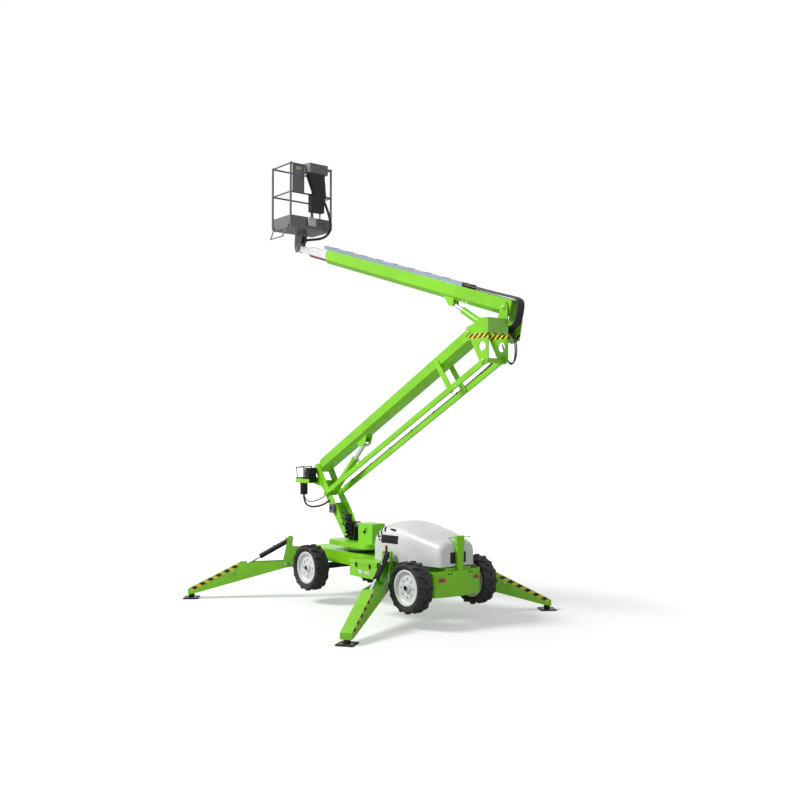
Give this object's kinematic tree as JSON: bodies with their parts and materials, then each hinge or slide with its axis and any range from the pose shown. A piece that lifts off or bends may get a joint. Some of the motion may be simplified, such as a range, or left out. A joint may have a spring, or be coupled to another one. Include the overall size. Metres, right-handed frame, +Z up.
{
  "type": "articulating boom lift",
  "caption": "Articulating boom lift on wheels, raised on hinged outriggers, with a parallelogram lower boom, telescoping upper boom and a work basket.",
  "frame": {"origin": "on the ground, under the middle of the machine's outline", "axes": "+X to the machine's left, +Y to its rear, +Z up"},
  "size_m": [4.2672, 5.899, 7.775],
  "materials": {
    "lift_green": "gloss",
    "cover_white": "gloss",
    "black_paint": "satin",
    "dark_grey": "satin",
    "chassis_grey": "satin",
    "chrome": "polished",
    "rubber": "matte",
    "track_aluminium": "satin"
  },
  "bodies": {
    "chassis": {"chassis_frame": "chassis_grey", "front_outrigger_beam": "lift_green", "rear_outrigger_beam": "lift_green", "rear_bumper": "lift_green", "engine_hood": "cover_white", "engine_block": "black_paint", "boom_rest": "lift_green", "side_boxes": "lift_green", "axles": "black_paint", "slew_ring": "black_paint"},
    "steering_knuckle_left": {"steering_knuckle_left": "black_paint"},
    "steering_knuckle_right": {"steering_knuckle_right": "black_paint"},
    "wheel_front_left": {"tyre_front_left": "rubber", "rim_front_left": "cover_white"},
    "wheel_front_right": {"tyre_front_right": "rubber", "rim_front_right": "cover_white"},
    "wheel_rear_left": {"tyre_rear_left": "rubber", "rim_rear_left": "cover_white"},
    "wheel_rear_right": {"tyre_rear_right": "rubber", "rim_rear_right": "cover_white"},
    "leg_front_left": {"leg_front_left": "lift_green", "foot_front_left": "black_paint"},
    "leg_front_left_rod": {"leg_front_left_rod": "chrome"},
    "leg_front_left_barrel": {"leg_front_left_barrel": "black_paint"},
    "leg_front_right": {"leg_front_right": "lift_green", "foot_front_right": "black_paint"},
    "leg_front_right_rod": {"leg_front_right_rod": "chrome"},
    "leg_front_right_barrel": {"leg_front_right_barrel": "black_paint"},
    "leg_rear_left": {"leg_rear_left": "lift_green", "foot_rear_left": "black_paint"},
    "leg_rear_left_rod": {"leg_rear_left_rod": "chrome"},
    "leg_rear_left_barrel": {"leg_rear_left_barrel": "black_paint"},
    "leg_rear_right": {"leg_rear_right": "lift_green", "foot_rear_right": "black_paint"},
    "leg_rear_right_rod": {"leg_rear_right_rod": "chrome"},
    "leg_rear_right_barrel": {"leg_rear_right_barrel": "black_paint"},
    "turret": {"turret_deck": "lift_green", "boom_post": "lift_green", "hydraulic_controls": "black_paint", "control_tray": "lift_green", "control_guard": "black_paint"},
    "lower_boom": {"lower_boom": "lift_green"},
    "lower_cylinder_rod": {"lower_cylinder_rod": "chrome"},
    "lower_cylinder_barrel": {"lower_cylinder_barrel": "lift_green"},
    "tie_bars": {"tie_bars": "lift_green"},
    "tie_link": {"tie_link": "lift_green"},
    "boom_knuckle": {"boom_knuckle": "lift_green"},
    "upper_boom": {"upper_boom": "lift_green", "hose_track": "track_aluminium"},
    "upper_cylinder_rod": {"upper_cylinder_rod": "chrome"},
    "upper_cylinder_barrel": {"upper_cylinder_barrel": "lift_green"},
    "inner_boom": {"inner_boom": "cover_white"},
    "basket_bracket": {"basket_bracket": "dark_grey"},
    "basket": {"basket_floor": "dark_grey", "basket_frame": "dark_grey", "basket_console": "dark_grey", "basket_cabinet": "black_paint"}
  },
  "joints": [
    {"name": "steer_left", "type": "hinge", "parent": "chassis", "child": "steering_knuckle_left", "pos_m": [0.54, -0.925, 0.588], "axis": [0, 0, 1], "range_deg": [-30, 30]},
    {"name": "steer_right", "type": "hinge", "parent": "chassis", "child": "steering_knuckle_right", "pos_m": [-0.54, -0.925, 0.588], "axis": [0, 0, 1], "range_deg": [-30, 30]},
    {"name": "wheel_front_left_spin", "type": "hinge", "parent": "steering_knuckle_left", "child": "wheel_front_left", "pos_m": [0.639, -0.925, 0.588], "axis": [1, 0, 0], "continuous": true},
    {"name": "wheel_front_right_spin", "type": "hinge", "parent": "steering_knuckle_right", "child": "wheel_front_right", "pos_m": [-0.639, -0.925, 0.588], "axis": [1, 0, 0], "continuous": true},
    {"name": "wheel_rear_left_spin", "type": "hinge", "parent": "chassis", "child": "wheel_rear_left", "pos_m": [0.639, 1.665, 0.588], "axis": [1, 0, 0], "continuous": true},
    {"name": "wheel_rear_right_spin", "type": "hinge", "parent": "chassis", "child": "wheel_rear_right", "pos_m": [-0.639, 1.665, 0.588], "axis": [1, 0, 0], "continuous": true},
    {"name": "leg_front_left_swing", "type": "hinge", "parent": "chassis", "child": "leg_front_left", "pos_m": [0.66457, -1.64054, 0.57], "axis": [0.5878, 0.809, 0], "range_deg": [-70, 3]},
    {"name": "leg_front_left_rod_turn", "type": "hinge", "parent": "leg_front_left", "child": "leg_front_left_rod", "pos_m": [1.39269, -2.16955, 0.44543], "axis": [0.5878, 0.809, 0], "range_deg": [-40, 40]},
    {"name": "leg_front_left_stroke", "type": "slide", "parent": "leg_front_left_rod", "child": "leg_front_left_barrel", "axis": [-0.7062, 0.5131, 0.4878], "range_m": [-0.48, 0.03]},
    {"name": "leg_front_right_swing", "type": "hinge", "parent": "chassis", "child": "leg_front_right", "pos_m": [-0.66457, -1.64054, 0.57], "axis": [0.5878, -0.809, 0], "range_deg": [-70, 3]},
    {"name": "leg_front_right_rod_turn", "type": "hinge", "parent": "leg_front_right", "child": "leg_front_right_rod", "pos_m": [-1.39269, -2.16955, 0.44543], "axis": [0.5878, -0.809, 0], "range_deg": [-40, 40]},
    {"name": "leg_front_right_stroke", "type": "slide", "parent": "leg_front_right_rod", "child": "leg_front_right_barrel", "axis": [0.7062, 0.5131, 0.4878], "range_m": [-0.48, 0.03]},
    {"name": "leg_rear_left_swing", "type": "hinge", "parent": "chassis", "child": "leg_rear_left", "pos_m": [0.61713, 1.05958, 0.57], "axis": [-0.5446, 0.8387, 0], "range_deg": [-70, 3]},
    {"name": "leg_rear_left_rod_turn", "type": "hinge", "parent": "leg_rear_left", "child": "leg_rear_left_rod", "pos_m": [1.37193, 1.54975, 0.44543], "axis": [-0.5446, 0.8387, 0], "range_deg": [-40, 40]},
    {"name": "leg_rear_left_stroke", "type": "slide", "parent": "leg_rear_left_rod", "child": "leg_rear_left_barrel", "axis": [-0.7321, -0.4755, 0.4878], "range_m": [-0.48, 0.03]},
    {"name": "leg_rear_right_swing", "type": "hinge", "parent": "chassis", "child": "leg_rear_right", "pos_m": [-0.61713, 1.05958, 0.57], "axis": [-0.5446, -0.8387, 0], "range_deg": [-70, 3]},
    {"name": "leg_rear_right_rod_turn", "type": "hinge", "parent": "leg_rear_right", "child": "leg_rear_right_rod", "pos_m": [-1.37193, 1.54975, 0.44543], "axis": [-0.5446, -0.8387, 0], "range_deg": [-40, 40]},
    {"name": "leg_rear_right_stroke", "type": "slide", "parent": "leg_rear_right_rod", "child": "leg_rear_right_barrel", "axis": [0.7321, -0.4755, 0.4878], "range_m": [-0.48, 0.03]},
    {"name": "slew", "type": "hinge", "parent": "chassis", "child": "turret", "pos_m": [0, -0.325, 0.905], "axis": [0, 0, 1], "range_deg": [0, 355]},
    {"name": "lower_boom_lift", "type": "hinge", "parent": "turret", "child": "lower_boom", "pos_m": [0, -1.495, 2.19], "axis": [1, 0, 0], "range_deg": [-34.8, 47.2]},
    {"name": "tie_bars_turn", "type": "hinge", "parent": "turret", "child": "tie_bars", "pos_m": [0, -1.185, 1.78], "axis": [1, 0, 0], "range_deg": [-35.8, 48.2]},
    {"name": "tie_link_turn", "type": "hinge", "parent": "lower_boom", "child": "tie_link", "pos_m": [0, 1.66295, 3.855], "axis": [1, 0, 0], "range_deg": [-48.2, 35.8]},
    {"name": "knuckle_turn", "type": "hinge", "parent": "lower_boom", "child": "boom_knuckle", "pos_m": [0, 2.41396, 4.25096], "axis": [1, 0, 0], "range_deg": [-48.2, 35.8]},
    {"name": "lower_cylinder_rod_turn", "type": "hinge", "parent": "lower_boom", "child": "lower_cylinder_rod", "pos_m": [0, -0.27549, 2.64079], "axis": [1, 0, 0], "range_deg": [-30, 30]},
    {"name": "lower_cylinder_stroke", "type": "slide", "parent": "lower_cylinder_rod", "child": "lower_cylinder_barrel", "axis": [0, -0.7263, -0.6874], "range_m": [-0.36, 0.46]},
    {"name": "upper_boom_lift", "type": "hinge", "parent": "boom_knuckle", "child": "upper_boom", "pos_m": [-0.3, 2.74896, 4.61296], "axis": [-1, 0, 0], "range_deg": [-25.8, 43.2]},
    {"name": "upper_cylinder_rod_turn", "type": "hinge", "parent": "upper_boom", "child": "upper_cylinder_rod", "pos_m": [-0.3, 1.55621, 4.79341], "axis": [-1, 0, 0], "range_deg": [-30, 30]},
    {"name": "upper_cylinder_stroke", "type": "slide", "parent": "upper_cylinder_rod", "child": "upper_cylinder_barrel", "axis": [0, 0.8692, -0.4945], "range_m": [-0.25, 0.4]},
    {"name": "telescope", "type": "slide", "parent": "upper_boom", "child": "inner_boom", "axis": [0, -0.9573, 0.289], "range_m": [0, 2.4]},
    {"name": "basket_level", "type": "hinge", "parent": "inner_boom", "child": "basket_bracket", "pos_m": [-0.3, -2.71733, 6.26333], "axis": [-1, 0, 0], "range_deg": [-44.2, 26.8]},
    {"name": "basket_rotate", "type": "hinge", "parent": "basket_bracket", "child": "basket", "pos_m": [-0.3, -2.67, 6.56], "axis": [0, 0, 1], "range_deg": [-75, 75]}
  ],
  "couplings": [
    {"joint": "steer_right", "follows": "steer_left", "ratio": 1},
    {"joint": "leg_front_left_rod_turn", "follows": "leg_front_left_swing", "ratio": -0.1},
    {"joint": "leg_front_left_stroke", "follows": "leg_front_left_swing", "m_per_rad": 0.385},
    {"joint": "leg_front_right_rod_turn", "follows": "leg_front_right_swing", "ratio": -0.1},
    {"joint": "leg_front_right_stroke", "follows": "leg_front_right_swing", "m_per_rad": 0.385},
    {"joint": "leg_rear_left_rod_turn", "follows": "leg_rear_left_swing", "ratio": -0.1},
    {"joint": "leg_rear_left_stroke", "follows": "leg_rear_left_swing", "m_per_rad": 0.385},
    {"joint": "leg_rear_right_rod_turn", "follows": "leg_rear_right_swing", "ratio": -0.1},
    {"joint": "leg_rear_right_stroke", "follows": "leg_rear_right_swing", "m_per_rad": 0.385},
    {"joint": "tie_bars_turn", "follows": "lower_boom_lift", "ratio": 1},
    {"joint": "tie_link_turn", "follows": "lower_boom_lift", "ratio": -1},
    {"joint": "knuckle_turn", "follows": "lower_boom_lift", "ratio": -1},
    {"joint": "lower_cylinder_rod_turn", "follows": "lower_boom_lift", "ratio": -0.08},
    {"joint": "lower_cylinder_stroke", "follows": "lower_boom_lift", "m_per_rad": 0.467},
    {"joint": "upper_cylinder_rod_turn", "follows": "upper_boom_lift", "ratio": 0.11},
    {"joint": "upper_cylinder_stroke", "follows": "upper_boom_lift", "m_per_rad": 0.424},
    {"joint": "basket_level", "follows": "upper_boom_lift", "ratio": -1}
  ]
}
